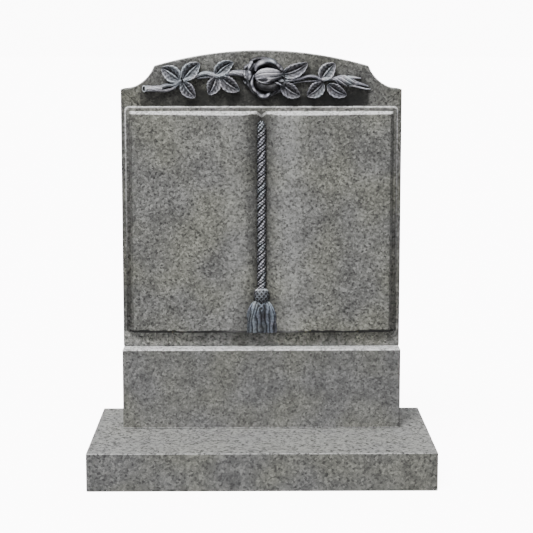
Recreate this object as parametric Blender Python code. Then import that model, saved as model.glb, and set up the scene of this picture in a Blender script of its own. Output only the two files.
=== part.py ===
"""Upright granite headstone: a base slab, a plinth block, and a tablet whose face is carved as one
piece with an open book, a cord and tassel in the book's gutter, and a spray of roses above it.

Metres, +Z up. The front faces -Y and the origin is at the middle of the base slab's underside.
"""

import math

import bmesh
import bpy
import numpy as np

# Base slab
BASE_WIDTH = 0.914
BASE_DEPTH = 0.457
BASE_HEIGHT = 0.102

# Plinth, set back on the base slab and as wide as the tablet
PLINTH_DEPTH = 0.178
PLINTH_HEIGHT = 0.222
PLINTH_BACK_MARGIN = 0.044

# Tablet, set back on the plinth
TABLET_WIDTH = 0.762
TABLET_THICKNESS = 0.102
TABLET_HEIGHT = 0.812
TABLET_SETBACK = 0.045

# The tablet's head: a low arch between two shoulders that are scooped out
ARCH_RISE = 0.041
SHOULDER_WIDTH = 0.091
SHOULDER_DROP = 0.063
ARCH_STEPS = 24
SCOOP_STEPS = 9

# Small chamfer along every outer edge, and the bed joint between two blocks
ARRIS = 0.003
BED_JOINT = 0.0003

# How far each carved shape reaches back into the tablet behind its face
ROOT = 0.005
# How far the foot of a raised shape lies under the surface that it rises from
FOOT_SINK = 0.0005

# Book: the cover plate, drawn from the tablet's edges and from the top of its arch
COVER_DROP = 0.150
COVER_MARGIN = 0.010
COVER_RELIEF = 0.008
COVER_SLOPE = 0.006
COVER_CORNER_RADIUS = 0.012
COVER_CORNER_STEPS = 5

# Book: the two pages, drawn from the cover's edges and from the tablet's foot
PAGE_DROP = 0.013
PAGE_MARGIN = 0.0125
PAGE_FOOT_HEIGHT = 0.042
FORE_EDGE_RELIEF = 0.021
FORE_EDGE_SLOPE = 0.010
CROWN_RELIEF = 0.027
GUTTER_RELIEF = 0.010
GUTTER_WIDTH = 0.130
GUTTER_STEPS = 8
PAGE_STEPS = 6
PAGE_TOP_SLOPE = 0.5
NOTCH_WIDTH = 0.026
NOTCH_DEPTH = 0.010

# Cord of two strands, lying in the gutter
CORD_TOP_DROP = 0.026
CORD_RADIUS = 0.0135
CORD_AXIS_RELIEF = 0.017
CORD_PITCH = 0.066
CORD_STRANDS = 2
CORD_STRAND_BULGE = 0.24
CORD_STEPS_PER_TURN = 11
CORD_POINTS = 9
CORD_TIP_SHARE = 0.1

# Tassel: its netted head, and the skirt that hangs to the foot of the pages
TASSEL_HEAD_WIDTH = 0.045
TASSEL_HEAD_HEIGHT = 0.040
TASSEL_HEAD_OVERLAP = 0.004
TASSEL_HEAD_STEPS = 8
TASSEL_HEAD_POINTS = 11
TASSEL_POLE = 0.12
NET_RELIEF = 0.0012
SKIRT_HEIGHT = 0.084
SKIRT_WIDTH = 0.100
SKIRT_TOP_SHARE = 0.60
SKIRT_TOP_RELIEF_SHARE = 0.85
SKIRT_RELIEF = 0.036
SKIRT_STRANDS = 13
SKIRT_STEPS = 5
STRAND_RELIEF_SHARE = 0.07

# Spray, drawn in thousandths of a metre from a point on the tablet's centre line
SPRAY_DROP = 0.077
SPRAY_UNIT = 0.001

# Leaf: relief at its stalk and tip, then how much its middle, rims, grooves and midrib differ
LEAF_RELIEF = 0.014
LEAF_ARCH = 0.004
LEAF_RIM_RISE = 0.0045
LEAF_GROOVE_DEPTH = 0.0015
LEAF_RIB_RISE = 0.003
LEAF_END_SHARE = 0.1
LEAF_WIDEST_POWER = 0.85
LEAF_FULLNESS_POWER = 0.75
LEAF_STATIONS = (0.0, 0.12, 0.3, 0.5, 0.7, 0.87, 1.0)
LEAF_SECTION = (-1.0, -0.6, -0.17, 0.0, 0.17, 0.6, 1.0)

# Each leaf: stalk end x and z, tip x and z, width
LEAVES = (
    (-224, -4, -273, 30, 47),
    (-213, -1, -169, 43, 46),
    (-216, -8, -181, -52, 40),
    (-126, 9, -77, 46, 41),
    (-123, 5, -144, -45, 42),
    (-111, 5, -60, -34, 43),
    (60, 13, 126, 46, 44),
    (56, -15, 106, -50, 45),
    (164, -4, 201, 43, 48),
    (168, -12, 125, -50, 46),
    (182, -17, 235, -48, 40),
)

# Each stem and sepal: its points x and z, its half breadth at both ends, its crest at both ends
STEMS = (
    (((-328, -26), (-271, -26), (-245, -20), (-219, -6)), (10, 7), (21, 18)),
    (((-216, -4), (-172, 8), (-152, 16), (-130, 11), (-118, 7)), (6, 7), (16, 18)),
    (((-118, 7), (-78, 15), (-44, 14)), (7, 8), (18, 18)),
    (((50, -4), (107, 1), (135, 7), (166, -2)), (7, 6), (18, 17)),
    (((166, -2), (190, 2), (214, -2)), (6, 7), (17, 18)),
    (((250, -2), (262, 0), (272, 1)), (4.5, 1.5), (16, 8)),
    (((252, -8), (270, -10), (285, -12)), (4.5, 1.5), (17, 8)),
    (((250, -12), (276, -14), (298, -20)), (4.5, 1.5), (17, 7)),
    (((244, -14), (268, -22), (292, -30)), (3.5, 1.5), (13, 6)),
)
STEM_FLANK = 0.5

# Open rose: its place, and the cup's outline as share of its radius and relief, foot to floor
ROSE_PLACE = (9, 2)
ROSE_RADIUS = 53
ROSE_LOBES = 5
ROSE_LOBE_SHARE = 0.06
ROSE_SIDES = 24
ROSE_CUP_PROFILE = ((1.0, -5), (1.0, 9), (0.92, 15), (0.78, 14), (0.66, 7))

# Each petal of the rose: centre x and z, radius, first and last angle in degrees, breadth, crest
PETALS = (
    (21, 8, 40, 178, -8, 13, 31),
    (18, 4, 42, 172, 242, 9, 25),
    (6, -36, 15, 150, 390, 9, 22),
    (-4, 22, 41, 100, 172, 12, 22),
    (4, 28, 33, 60, 130, 7, 19),
    (-4, 0, 47, 160, 212, 13, 20),
    (34, -10, 33, 250, 330, 9, 20),
)
PETAL_STEPS = 8
PETAL_FLANK = 0.6
PETAL_TIP = 0.12
PETAL_TIP_CREST = 0.6
PETAL_FULLNESS_POWER = 0.5

# Furled heart of the rose and closed bud: round end and point, half breadth, flank and crest,
# then the spiral ribs: how many, how proud as a share, and their turn from end to end in radians
ROSE_HEART = ((-18, 4), (63, 16), 23, 17, 37, (3, 0.07, 2.6))
CLOSED_BUD = ((206, -1), (268, -11), 13, 10, 24, (3, 0.04, 1.5))
BUD_STEPS = 9
BUD_TIP = 0.015
BUD_WIDEST_POWER = 0.7
BUD_FULLNESS_POWER = 0.7
BUD_POINTS = 8
BAR_POINTS = 6

# Where the blocks stand
PLINTH_WIDTH = TABLET_WIDTH
PLINTH_FOOT = BASE_HEIGHT + BED_JOINT
TABLET_FOOT = PLINTH_FOOT + PLINTH_HEIGHT + BED_JOINT
TABLET_HEAD = TABLET_FOOT + TABLET_HEIGHT
PLINTH_BACK = BASE_DEPTH / 2 - PLINTH_BACK_MARGIN
PLINTH_FRONT = PLINTH_BACK - PLINTH_DEPTH
TABLET_FRONT = PLINTH_FRONT + TABLET_SETBACK

# Where the book lies on the tablet's face
COVER_HALF = TABLET_WIDTH / 2 - COVER_MARGIN
COVER_TOP = TABLET_HEAD - COVER_DROP
PAGE_HALF = COVER_HALF - PAGE_MARGIN
PAGE_TOP = COVER_TOP - PAGE_DROP
PAGE_FOOT = TABLET_FOOT + PAGE_FOOT_HEIGHT
FACE_EDGE = PAGE_HALF - FORE_EDGE_SLOPE

# Where the cord and its tassel lie in the gutter
TASSEL_HEAD_MIDDLE = PAGE_FOOT + SKIRT_HEIGHT + TASSEL_HEAD_HEIGHT / 2 - TASSEL_HEAD_OVERLAP
CORD_FOOT = TASSEL_HEAD_MIDDLE
SKIRT_FOOT = PAGE_FOOT + 2 * FOOT_SINK
CORD_TOP = PAGE_TOP - CORD_TOP_DROP
CORD_STEPS = round((CORD_TOP - CORD_FOOT) / CORD_PITCH * CORD_STEPS_PER_TURN)


def clear_scene():
    for item in list(bpy.data.objects):
        bpy.data.objects.remove(item, do_unlink=True)


def granite(name, colour, roughness):
    material = bpy.data.materials.new(name)
    material.use_nodes = True
    shader = material.node_tree.nodes["Principled BSDF"]
    shader.inputs["Base Color"].default_value = (*colour, 1.0)
    shader.inputs["Roughness"].default_value = roughness
    shader.inputs["Metallic"].default_value = 0.0
    return material


def closed_object(name, bm, smooth=False):
    """An object of a closed bmesh, with its faces turned outwards."""
    bmesh.ops.recalc_face_normals(bm, faces=bm.faces)
    mesh = bpy.data.meshes.new(name)
    bm.to_mesh(mesh)
    bm.free()
    if smooth:
        mesh.shade_smooth()
    item = bpy.data.objects.new(name, mesh)
    bpy.context.scene.collection.objects.link(item)
    return item


def ease_edges(item, width):
    bevel = item.modifiers.new("arris", "BEVEL")
    bevel.width = width
    bevel.segments = 1
    bevel.limit_method = "ANGLE"
    bevel.angle_limit = math.radians(30)


def block(name, width, depth, height, centre_y, foot):
    """A rectangular block that stands at foot, with eased edges."""
    bm = bmesh.new()
    bmesh.ops.create_cube(bm, size=1.0)
    bmesh.ops.scale(bm, vec=(width, depth, height), verts=bm.verts)
    item = closed_object(name, bm)
    item.location = (0.0, centre_y, foot + height / 2)
    ease_edges(item, ARRIS)
    return item


def loft(name, rings, smooth=True):
    """A closed skin over rings of equally many points, with a fanned cap on the first and the last."""
    bm = bmesh.new()
    rows = [[bm.verts.new(point) for point in ring] for ring in rings]
    count = len(rows[0])
    for lower, upper in zip(rows, rows[1:]):
        for i in range(count):
            j = (i + 1) % count
            bm.faces.new((lower[i], lower[j], upper[j], upper[i]))
    caps = [bm.faces.new(rows[0]), bm.faces.new(rows[-1])]
    bmesh.ops.poke(bm, faces=caps, center_mode="MEAN")
    bmesh.ops.triangulate(bm, faces=bm.faces)
    return closed_object(name, bm, smooth)


def on_face(x, z, relief):
    """The point that stands this far out of the tablet's face."""
    return (x, TABLET_FRONT - relief, z)


def spray_point(x, z):
    """A point of the spray's drawing, as x and z on the tablet's face."""
    return x * SPRAY_UNIT, TABLET_HEAD - SPRAY_DROP + z * SPRAY_UNIT


def arc(centre, radius, start, end, steps):
    """Points along an arc from one angle to another, in degrees, both ends included."""
    angles = np.radians(np.linspace(start, end, steps + 1))
    return [(centre[0] + radius * math.cos(a), centre[1] + radius * math.sin(a)) for a in angles]


def raised(x, z, dx, dz, halves, reliefs):
    """One section of a raised shape: its points across the way dx, dz it runs, then its two roots."""
    length = math.hypot(dx, dz)
    across = (-dz / length, dx / length)
    ring = [on_face(x + across[0] * h, z + across[1] * h, r) for h, r in zip(halves, reliefs)]
    for half in (halves[-1], halves[0]):
        ring.append(on_face(x + across[0] * half, z + across[1] * half, -ROOT))
    return ring


def tablet_outline():
    """The tablet's front outline, from its right foot up, over the arch and down the left side."""
    half = TABLET_WIDTH / 2
    arch_half = half - SHOULDER_WIDTH
    arch_foot = TABLET_HEAD - ARCH_RISE
    arch_radius = (arch_half**2 + ARCH_RISE**2) / (2 * ARCH_RISE)
    arch_angle = math.degrees(math.asin(arch_half / arch_radius))
    scoop_radius = (SHOULDER_WIDTH**2 + SHOULDER_DROP**2) / (2 * SHOULDER_DROP)
    scoop_angle = math.degrees(math.asin(SHOULDER_WIDTH / scoop_radius))
    scoop_centre = arch_foot - SHOULDER_DROP + scoop_radius
    right_scoop = arc((half, scoop_centre), scoop_radius, 270, 270 - scoop_angle, SCOOP_STEPS)
    arch_centre = (0.0, TABLET_HEAD - arch_radius)
    arch = arc(arch_centre, arch_radius, 90 - arch_angle, 90 + arch_angle, ARCH_STEPS)
    left_scoop = [(-x, z) for x, z in reversed(right_scoop)]
    feet = [(-half, TABLET_FOOT), (half, TABLET_FOOT)]
    return right_scoop[:-1] + arch + left_scoop[1:] + feet


def tablet_slab():
    bm = bmesh.new()
    front = [bm.verts.new(on_face(x, z, 0.0)) for x, z in tablet_outline()]
    face = bm.faces.new(front)
    swept = bmesh.ops.extrude_face_region(bm, geom=[face])["geom"]
    back = [part for part in swept if isinstance(part, bmesh.types.BMVert)]
    bmesh.ops.translate(bm, vec=(0.0, TABLET_THICKNESS, 0.0), verts=back)
    slab = closed_object("tablet", bm)
    ease_edges(slab, ARRIS)
    return slab


def cover_outline(inset):
    """The cover plate's outline, drawn in by inset at its top and sides; its foot stays."""
    half = COVER_HALF - inset
    top = COVER_TOP - inset
    radius = COVER_CORNER_RADIUS - inset / 2
    foot = PAGE_FOOT + FOOT_SINK
    right = arc((half - radius, top - radius), radius, 0, 90, COVER_CORNER_STEPS)
    left = [(-x, z) for x, z in reversed(right)]
    return right + left + [(-half, foot), (half, foot)]


def cover_plate():
    levels = ((0.0, -ROOT), (0.0, 0.0), (COVER_SLOPE, COVER_RELIEF))
    rings = [[on_face(x, z, relief) for x, z in cover_outline(inset)] for inset, relief in levels]
    return loft("cover_plate", rings, smooth=False)


def page_relief(x):
    """Height of the open pages: a quarter ellipse out of the gutter, then a slow fall outwards."""
    gutter_half = GUTTER_WIDTH / 2
    away = abs(x)
    if away < gutter_half:
        share = away / gutter_half
        return GUTTER_RELIEF + (CROWN_RELIEF - GUTTER_RELIEF) * math.sqrt(share * (2 - share))
    share = (away - gutter_half) / (FACE_EDGE - gutter_half)
    return CROWN_RELIEF - (CROWN_RELIEF - FORE_EDGE_RELIEF) * share**2


def page_ring(x, relief):
    """Section of the page block at x, with its top edge sloped and dipped in the gutter."""
    foot = COVER_RELIEF - FOOT_SINK
    top = PAGE_TOP - NOTCH_DEPTH * max(0.0, 1 - abs(x) / (NOTCH_WIDTH / 2))
    shoulder = top - PAGE_TOP_SLOPE * (relief - foot)
    outline = ((PAGE_FOOT, -ROOT), (PAGE_FOOT, relief), (shoulder, relief), (top, foot), (top, -ROOT))
    return [on_face(x, z, height) for z, height in outline]


def pages():
    gutter_half = GUTTER_WIDTH / 2
    shares = 1 - np.cos(np.linspace(0, math.pi / 2, GUTTER_STEPS + 1))
    near = sorted({*(gutter_half * shares), NOTCH_WIDTH / 2})
    far = np.linspace(gutter_half, FACE_EDGE, PAGE_STEPS + 1)[1:]
    right = [(x, page_relief(x)) for x in (*near, *far)]
    right.append((PAGE_HALF, COVER_RELIEF + FOOT_SINK))
    left = [(-x, relief) for x, relief in reversed(right[1:])]
    return loft("pages", [page_ring(x, relief) for x, relief in left + right], smooth=False)


def gutter_round(name, heights, radii):
    """A round shape in the gutter: at each height, its radii round the half that shows."""
    angles = np.linspace(0, math.pi, radii.shape[1])
    rings = [
        raised(0.0, z, 0.0, 1.0, row * np.cos(angles), CORD_AXIS_RELIEF + row * np.sin(angles))
        for z, row in zip(heights, radii)
    ]
    return loft(name, rings)


def cord():
    """Strands laid up together: a lobed section that turns as it rises, rounded off at its top."""
    heights = np.linspace(CORD_FOOT, CORD_TOP, CORD_STEPS + 1)[:, None]
    angles = np.linspace(math.pi, 0, CORD_POINTS)[None, :]
    turns = 2 * math.pi * (heights - CORD_FOOT) / CORD_PITCH
    lobes = np.cos(CORD_STRANDS * (angles + turns))
    rounding = np.sqrt(np.minimum(1.0, (CORD_TOP - heights) / CORD_RADIUS + CORD_TIP_SHARE))
    radii = CORD_RADIUS * (1 - CORD_STRAND_BULGE + CORD_STRAND_BULGE * lobes) * rounding
    return gutter_round("cord", heights[:, 0], radii)


def tassel_head():
    """An egg-shaped knot under a net: every second crossing stands proud."""
    polar = np.linspace(TASSEL_POLE, math.pi - TASSEL_POLE, TASSEL_HEAD_STEPS + 1)
    rows, columns = np.indices((TASSEL_HEAD_STEPS + 1, TASSEL_HEAD_POINTS))
    net = np.where((rows + columns) % 2, NET_RELIEF, -NET_RELIEF)
    radii = (TASSEL_HEAD_WIDTH / 2 + net) * np.sin(polar)[:, None]
    heights = TASSEL_HEAD_MIDDLE - TASSEL_HEAD_HEIGHT / 2 * np.cos(polar)
    return gutter_round("tassel_head", heights, radii)


def tassel_skirt():
    """Strands hanging from the head: a half-round that widens downwards, cut into flutes."""
    angles = np.linspace(0, math.pi, 2 * SKIRT_STRANDS + 1)
    fluted = 1 + STRAND_RELIEF_SHARE * np.where(np.arange(len(angles)) % 2, -1, 1)
    rings = []
    for share in np.linspace(0, 1, SKIRT_STEPS + 1):
        half = SKIRT_WIDTH / 2 * (1 - (1 - SKIRT_TOP_SHARE) * share**3)
        rise = (SKIRT_RELIEF - GUTTER_RELIEF) * (1 - (1 - SKIRT_TOP_RELIEF_SHARE) * share**2)
        halves = half * np.cos(angles) * fluted
        reliefs = GUTTER_RELIEF + rise * np.sin(angles) * fluted
        rings.append(raised(0.0, SKIRT_FOOT + SKIRT_HEIGHT * share, 0.0, 1.0, halves, reliefs))
    return loft("tassel_skirt", rings)


def leaf(name, stalk_x, stalk_z, tip_x, tip_z, width):
    """A cupped leaf: raised rims, a midrib, and a groove on each side of it."""
    stalk = np.array(spray_point(stalk_x, stalk_z))
    run = np.array(spray_point(tip_x, tip_z)) - stalk
    rises = (LEAF_RIM_RISE, 0.0, -LEAF_GROOVE_DEPTH, LEAF_RIB_RISE, -LEAF_GROOVE_DEPTH, 0.0, LEAF_RIM_RISE)
    rings = []
    for share in LEAF_STATIONS:
        x, z = stalk + run * share
        bulge = math.sin(math.pi * share**LEAF_WIDEST_POWER) ** LEAF_FULLNESS_POWER
        spread = LEAF_END_SHARE + (1 - LEAF_END_SHARE) * bulge
        arch = LEAF_RELIEF + LEAF_ARCH * math.sin(math.pi * share)
        halves = [side * spread * width * SPRAY_UNIT / 2 for side in LEAF_SECTION]
        rings.append(raised(x, z, *run, halves, [arch + rise * spread for rise in rises]))
    return loft(name, rings, smooth=False)


def raised_bar(name, path, halves, crests, flanks, points=BAR_POINTS, ribs=(0, 0.0, 0.0)):
    """A bar along a path on the face: half breadth, crest and flank at each point, rounded on top."""
    count, share_proud, turn = ribs
    ways = np.gradient(np.array(path), axis=0)
    angles = np.linspace(math.pi, 0, points)
    rings = []
    for i, ((x, z), way) in enumerate(zip(path, ways)):
        ribbed = 1 + share_proud * np.cos(count * angles + turn * i / (len(path) - 1))
        across = halves[i] * np.cos(angles) * ribbed
        heights = flanks[i] + (crests[i] - flanks[i]) * np.sin(angles) * ribbed
        rings.append(raised(x, z, *way, across, heights))
    return loft(name, rings)


def stem(name, points, halves, crests):
    """A stalk or a sepal, tapering evenly from its first end to its last."""
    path = [spray_point(x, z) for x, z in points]
    halves = np.linspace(*halves, len(path)) * SPRAY_UNIT
    crests = np.linspace(*crests, len(path)) * SPRAY_UNIT
    return raised_bar(name, path, halves, crests, crests * STEM_FLANK)


def rose_cup():
    """The rose's outer cup: a lobed outline stacked from its foot over its lip to its floor."""
    x, z = spray_point(*ROSE_PLACE)
    angles = np.arange(ROSE_SIDES) * 2 * math.pi / ROSE_SIDES
    lobed = 1 - ROSE_LOBE_SHARE + ROSE_LOBE_SHARE * np.abs(np.cos(ROSE_LOBES * angles / 2))
    rings = []
    for share, relief in ROSE_CUP_PROFILE:
        radii = ROSE_RADIUS * SPRAY_UNIT * share * lobed
        places = zip(x + radii * np.cos(angles), z + radii * np.sin(angles))
        rings.append([on_face(px, pz, relief * SPRAY_UNIT) for px, pz in places])
    return loft("rose_cup", rings)


def petal(name, x, z, radius, start, end, breadth, crest):
    """A rolled petal edge along an arc, thin and low at both ends."""
    path = arc(spray_point(x, z), radius * SPRAY_UNIT, start, end, PETAL_STEPS)
    swell = np.sin(np.linspace(PETAL_TIP, math.pi - PETAL_TIP, len(path))) ** PETAL_FULLNESS_POWER
    crests = crest * SPRAY_UNIT * (PETAL_TIP_CREST + (1 - PETAL_TIP_CREST) * swell)
    return raised_bar(name, path, breadth * SPRAY_UNIT / 2 * swell, crests, crests * PETAL_FLANK)


def furled_bud(name, start, end, half, flank, crest, ribs):
    """A drop-shaped bud on its side, round at its start and pointed at its end, ribbed in a spiral."""
    start, end = (np.array(spray_point(*place)) for place in (start, end))
    shares = np.linspace(BUD_TIP, 1 - BUD_TIP, BUD_STEPS + 1)
    path = [start + (end - start) * share for share in shares]
    girth = np.sin(math.pi * shares**BUD_WIDEST_POWER) ** BUD_FULLNESS_POWER
    flanks = flank * SPRAY_UNIT * (1 + girth) / 2
    crests = flanks + (crest - flank) * SPRAY_UNIT * girth
    return raised_bar(name, path, half * SPRAY_UNIT * girth, crests, flanks, BUD_POINTS, ribs)


def carving():
    """Every raised shape of the tablet's face."""
    shapes = [cover_plate(), pages(), cord(), tassel_head(), tassel_skirt(), rose_cup()]
    for i, places in enumerate(LEAVES):
        shapes.append(leaf(f"leaf_{i + 1}", *places))
    for i, places in enumerate(STEMS):
        shapes.append(stem(f"stem_{i + 1}", *places))
    for i, places in enumerate(PETALS):
        shapes.append(petal(f"petal_{i + 1}", *places))
    shapes.append(furled_bud("rose_heart", *ROSE_HEART))
    shapes.append(furled_bud("closed_bud", *CLOSED_BUD))
    return shapes


def carved_tablet():
    """The slab with every raised shape joined to it, so that the tablet is one solid."""
    slab = tablet_slab()
    shapes = bpy.data.collections.new("carving")
    bpy.context.scene.collection.children.link(shapes)
    for shape in carving():
        bpy.context.scene.collection.objects.unlink(shape)
        shapes.objects.link(shape)
        shape.hide_render = True
        shape.display_type = "WIRE"
    union = slab.modifiers.new("carving", "BOOLEAN")
    union.operation = "UNION"
    union.solver = "EXACT"
    union.operand_type = "COLLECTION"
    union.collection = shapes
    return slab


clear_scene()
base_slab = block("base_slab", BASE_WIDTH, BASE_DEPTH, BASE_HEIGHT, 0.0, 0.0)
base_slab.data.materials.append(granite("base_granite", (0.30, 0.30, 0.29), 0.45))
plinth_middle = (PLINTH_FRONT + PLINTH_BACK) / 2
plinth = block("plinth", PLINTH_WIDTH, PLINTH_DEPTH, PLINTH_HEIGHT, plinth_middle, PLINTH_FOOT)
plinth.data.materials.append(granite("plinth_granite", (0.24, 0.24, 0.235), 0.45))
tablet = carved_tablet()
tablet.data.materials.append(granite("tablet_granite", (0.25, 0.255, 0.24), 0.5))
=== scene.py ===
"""Looks of the upright granite headstone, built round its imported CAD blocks.

Metres, +Z up, the carved front faces -Y. The tablet's face lies in one plane, and relief is measured
out of that plane towards the viewer.
"""

import math

import bpy
import numpy as np
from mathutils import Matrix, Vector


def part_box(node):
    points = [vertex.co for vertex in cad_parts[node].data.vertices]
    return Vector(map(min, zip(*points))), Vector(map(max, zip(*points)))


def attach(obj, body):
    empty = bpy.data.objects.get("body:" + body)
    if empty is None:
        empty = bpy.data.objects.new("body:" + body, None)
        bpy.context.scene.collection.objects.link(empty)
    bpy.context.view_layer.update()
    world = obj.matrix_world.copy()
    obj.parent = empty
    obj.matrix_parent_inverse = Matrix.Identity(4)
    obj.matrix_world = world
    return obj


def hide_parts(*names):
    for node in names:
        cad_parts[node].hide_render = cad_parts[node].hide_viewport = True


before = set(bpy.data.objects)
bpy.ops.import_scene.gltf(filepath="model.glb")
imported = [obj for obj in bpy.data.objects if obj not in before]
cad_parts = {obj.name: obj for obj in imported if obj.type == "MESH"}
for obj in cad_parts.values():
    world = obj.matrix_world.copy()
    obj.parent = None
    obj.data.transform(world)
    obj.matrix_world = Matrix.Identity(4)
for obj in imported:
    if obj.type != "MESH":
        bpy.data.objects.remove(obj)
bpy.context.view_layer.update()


# Base slab
# The real piece is one low block of grey granite, sawn, then rubbed smooth with fine grit. Its edges
# are eased by hand with a rubbing stone, and it lies flat on the ground under its own weight.

SLAB_LOW, SLAB_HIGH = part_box("base_slab")
SLAB_ARRIS = 0.003
SLAB_CORNER = 0.0045
SLAB_GRAIN_MM = 6.6
SLAB_TONES = ((0.05, "#525251"), (0.35, "#7c7c7b"), (0.65, "#92928f"), (0.95, "#b4b4b0"))
# How far a flat face starts inside its rounded arrises, and the steps of each arris and corner
EDGE_HOLD = 0.0008
ARRIS_STEPS = 5
CORNER_STEPS = 6
GRANITE_IOR = 1.54
# Near black for painted shade and a little soot
SOOT_AND_SHADE_COLOUR = "#1e1e1c"


def linear(colour):
    """sRGB hex to linear RGBA: divided by 12.92 below 0.04045, else ((c + 0.055) / 1.055) ** 2.4."""
    levels = [int(colour[i : i + 2], 16) / 255 for i in (1, 3, 5)]
    return [c / 12.92 if c <= 0.04045 else ((c + 0.055) / 1.055) ** 2.4 for c in levels] + [1.0]


def add(tree, kind, links=(), stops=(), **settings):
    """Adds a node. links are (input, socket or value) pairs, stops are a colour ramp's (place, sRGB
    hex) pairs, and settings are the node's own properties."""
    node = tree.nodes.new("ShaderNode" + kind)
    for name, value in settings.items():
        setattr(node, name, value)
    for name, source in links:
        if isinstance(source, bpy.types.NodeSocket):
            tree.links.new(source, node.inputs[name])
        else:
            node.inputs[name].default_value = source
    for _ in stops[2:]:
        node.color_ramp.elements.new(0.5)
    for count, (position, colour) in enumerate(stops):
        node.color_ramp.elements[count].position = position
        node.color_ramp.elements[count].color = linear(colour)
    return node


def new_material(name):
    """A material with nodes, its node tree and its Principled shader."""
    material = bpy.data.materials.new(name)
    material.use_nodes = True
    return material, material.node_tree, material.node_tree.nodes["Principled BSDF"]


def placed(name, data):
    """An object of the data, linked to the scene."""
    thing = bpy.data.objects.new(name, data)
    bpy.context.scene.collection.objects.link(thing)
    return thing


def wandering(tree, place, scale, detail, reach):
    """The place pushed to and fro on each axis, by reach times a noise less 0.5."""
    noise = add(tree, "TexNoise", [("Vector", place), ("Scale", scale), ("Detail", detail)])
    noise = [(0, noise.outputs["Color"]), (1, (0.5, 0.5, 0.5))]
    push = add(tree, "VectorMath", noise, operation="SUBTRACT").outputs[0]
    push = add(tree, "VectorMath", [(0, push), ("Scale", reach)], operation="SCALE").outputs[0]
    return add(tree, "VectorMath", [(0, place), (1, push)], operation="ADD").outputs[0]


def mottled(tree, place, colour, scale, detail, tones):
    """The colour multiplied by a noise that runs through the tones, in patches of 1 / scale metres."""
    noise = add(tree, "TexNoise", [("Vector", place), ("Scale", scale), ("Detail", detail)])
    tone = add(tree, "ValToRGB", [("Fac", noise.outputs["Fac"])], tones).outputs["Color"]
    mixed = [("Factor", 1.0), (6, colour), (7, tone)]
    return add(tree, "Mix", mixed, data_type="RGBA", blend_type="MULTIPLY").outputs[2]


def stone_grain(tree, place, grain_mm, fleck_mm):
    """Grains of feldspar and quartz as cells of random grey, with flecks of black mica between them.

    The value is 0.62 of one random number a cell at grain_mm and 0.38 of one at half that, less a
    dark fleck near the middle of each of a third set of cells, fleck_mm apart. Its edge lies at 0.2
    to 0.32 of the distance between them."""
    bent = wandering(tree, place, 1000 / (1.5 * grain_mm), 1.0, grain_mm / 1000)
    value = None
    for cell, share in ((grain_mm, 0.62), (grain_mm * 0.5, 0.38)):
        cells = add(tree, "TexVoronoi", [("Vector", bent), ("Scale", 1000 / cell)])
        grey = add(tree, "SeparateColor", [("Color", cells.outputs["Color"])]).outputs[0]
        part = add(tree, "Math", [(0, grey), (1, share)], operation="MULTIPLY").outputs[0]
        value = part if value is None else add(tree, "Math", [(0, value), (1, part)]).outputs[0]
    flecks = add(tree, "TexVoronoi", [("Vector", bent), ("Scale", 1000 / fleck_mm)])
    edge = [("Value", flecks.outputs["Distance"]), ("From Min", 0.2), ("From Max", 0.32)]
    near = add(tree, "MapRange", edge + [("To Min", 0.28), ("To Max", 0.0)]).outputs[0]
    return add(tree, "Math", [(0, value), (1, near)], operation="SUBTRACT", use_clamp=True).outputs[0]


def rubbed_granite(name, tones, pale, grain_mm=5.6, shading_patches=None):
    """Fine grey granite, rubbed but not polished: a semi-matt face on which each grain is a tiny flat.

    Light grey feldspar, mid grey quartz and black mica show as speckle, clouded and tinted over a few
    centimetres. Real grains are 2 to 4 mm; they are drawn about 6 mm wide, because less than two
    pixels wouldn't show in the render. Arrises, chamfers and some tops come out in the two pale tones,
    partly as the wear of rubbing by hand and partly as painted highlight and painted light: the
    attribute rubbed says where, from 0 to 1. The attribute soiled says in the same way
    where the colour is painted dark, mostly as painted shade in inner corners and a little as soot,
    and shading_patches, if given, adds painted patches of shade and light."""
    material, tree, shader = new_material(name)
    place = add(tree, "TexCoord").outputs["Object"]
    grain = stone_grain(tree, place, grain_mm, 2 * grain_mm)
    colour = add(tree, "ValToRGB", [("Fac", grain)], tones).outputs["Color"]
    colour = mottled(tree, place, colour, 22.0, 4.0, ((0.3, "#cecece"), (0.7, "#fbfbfb")))
    colour = mottled(tree, place, colour, 7.0, 1.0, ((0.38, "#f0f0f2"), (0.62, "#fcfcf3")))
    if shading_patches is not None:
        colour = shading_patches(tree, place, colour)
    # Pale tones: wear on the rubbed arrises and chamfers, and painted highlight and painted light on tops
    rubbed = add(tree, "Attribute", attribute_name="rubbed").outputs["Fac"]
    light = add(tree, "ValToRGB", [("Fac", grain)], ((0.1, pale[0]), (0.6, pale[1]))).outputs["Color"]
    fading = [("Factor", rubbed), (6, colour), (7, light)]
    colour = add(tree, "Mix", fading, data_type="RGBA").outputs[2]
    # Painted shade in inner corners and recesses, with a little soot, mixed towards near black
    soiled = add(tree, "Attribute", attribute_name="soiled").outputs["Fac"]
    soot_and_shade_mix = [("Factor", soiled), (6, colour), (7, linear(SOOT_AND_SHADE_COLOUR))]
    colour = add(tree, "Mix", soot_and_shade_mix, data_type="RGBA").outputs[2]
    tree.links.new(colour, shader.inputs["Base Color"])
    rough = add(tree, "MapRange", [("Value", grain), ("To Min", 0.62), ("To Max", 0.42)]).outputs[0]
    tree.links.new(rough, shader.inputs["Roughness"])
    bump = add(tree, "Bump", [("Height", grain), ("Strength", 0.12), ("Distance", 0.0004)])
    tree.links.new(bump.outputs["Normal"], shader.inputs["Normal"])
    shader.inputs["IOR"].default_value = GRANITE_IOR
    return material


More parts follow.
